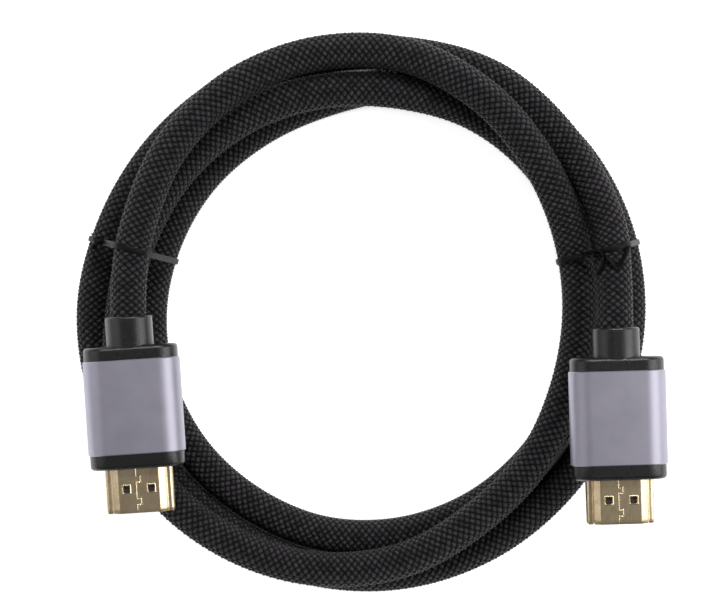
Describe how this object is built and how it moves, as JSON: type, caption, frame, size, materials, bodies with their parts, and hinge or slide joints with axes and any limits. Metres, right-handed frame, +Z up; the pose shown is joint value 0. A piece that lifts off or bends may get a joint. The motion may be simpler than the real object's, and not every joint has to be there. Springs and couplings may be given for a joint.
{
  "type": "coiled video cable",
  "caption": "Braided round video cable coiled flat and held by two wire ties, with a metal-sleeved D-shaped plug on each end.",
  "frame": {"origin": "on the surface that the coil lies on, below the middle of the whole object", "axes": "+Z up, out of the coil's flat face; +X along the coil's width, from the left plug to the right plug; both plugs point roughly along -Y"},
  "size_m": [0.1223, 0.1165, 0.0259],
  "materials": {
    "braid": "woven nylon",
    "moulding": "satin, fine texture",
    "sleeve": "anodised, fine blasted",
    "plated_steel": "pale gold plating",
    "insulator": "satin",
    "contact": "gold plating",
    "tie": "smooth"
  },
  "bodies": {
    "root": {"cable": "braid", "left_plug_body": "moulding", "left_sleeve": "sleeve", "left_front_cap": "moulding", "left_shell": "plated_steel", "left_insulator": "insulator", "left_upper_contacts": "contact", "left_lower_contacts": "contact", "right_plug_body": "moulding", "right_sleeve": "sleeve", "right_front_cap": "moulding", "right_shell": "plated_steel", "right_insulator": "insulator", "right_upper_contacts": "contact", "right_lower_contacts": "contact", "left_wire_tie": "tie", "right_wire_tie": "tie"}
  },
  "joints": []
}
